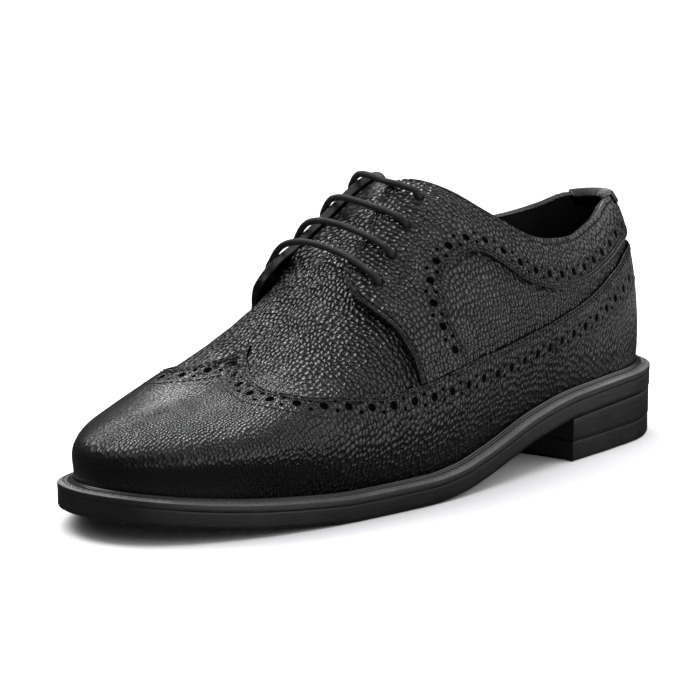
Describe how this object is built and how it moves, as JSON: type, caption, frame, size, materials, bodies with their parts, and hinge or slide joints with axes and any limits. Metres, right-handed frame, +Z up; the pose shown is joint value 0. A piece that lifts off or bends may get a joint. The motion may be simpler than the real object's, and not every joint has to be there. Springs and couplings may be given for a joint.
{
  "type": "brogue shoe",
  "caption": "Left long-wing brogue derby in black grained leather with an open throat, round laces, a storm welt and a stacked heel.",
  "frame": {"origin": "on the floor, below the middle of the sole's box", "axes": "+Z up, the toe points to -Y, +X is the outer side of the left foot"},
  "size_m": [0.1066, 0.3, 0.1153],
  "materials": {
    "leather": "black pebble-grained leather with a soft polish",
    "sole_edge": "black inked sole edge and welt, satin",
    "top_lift": "black rubber, satin",
    "lining": "black smooth lining leather, dull",
    "lace": "dark grey braided round cotton cord"
  },
  "bodies": {
    "root": {"outsole": "sole_edge", "welt": "sole_edge", "heel_stack": "sole_edge", "top_lift": "top_lift", "insole": "lining", "upper": "leather", "wing": "leather", "facing_outer": "leather", "facing_inner": "leather", "heel_tab": "leather", "tongue": "leather", "laces": "lace"}
  },
  "joints": []
}
